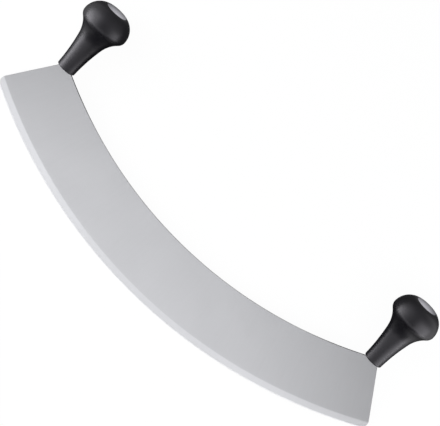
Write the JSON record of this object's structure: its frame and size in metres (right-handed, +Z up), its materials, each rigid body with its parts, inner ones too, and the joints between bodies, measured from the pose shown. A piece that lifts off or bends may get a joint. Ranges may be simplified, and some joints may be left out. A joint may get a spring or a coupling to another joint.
{
  "type": "mezzaluna",
  "caption": "Rocking knife with a long curved steel blade, bevelled along its outer arc, and an upright black plastic knob on either end, each with a metal disc in its top.",
  "frame": {"origin": "centre of the bounding box, at the surface the knife lies on", "axes": "+X along the blade from tip to tip, +Y from the cutting edge to the knobs, +Z up; the knife lies on both knobs and on the middle of the bevel"},
  "size_m": [0.3946, 0.1566, 0.041],
  "materials": {
    "blade_steel": "fine ground satin, bright bevel",
    "black_plastic": "smooth semi-matt moulded",
    "cap_metal": "brushed",
    "fastener_steel": "plain machined"
  },
  "bodies": {
    "root": {"blade": "blade_steel", "left_tang_stud": "fastener_steel", "right_tang_stud": "fastener_steel", "left_handle": "black_plastic", "right_handle": "black_plastic", "left_washer": "fastener_steel", "right_washer": "fastener_steel", "left_spring_washer": "fastener_steel", "right_spring_washer": "fastener_steel", "left_nut": "fastener_steel", "right_nut": "fastener_steel", "left_end_cap": "cap_metal", "right_end_cap": "cap_metal"}
  },
  "joints": []
}
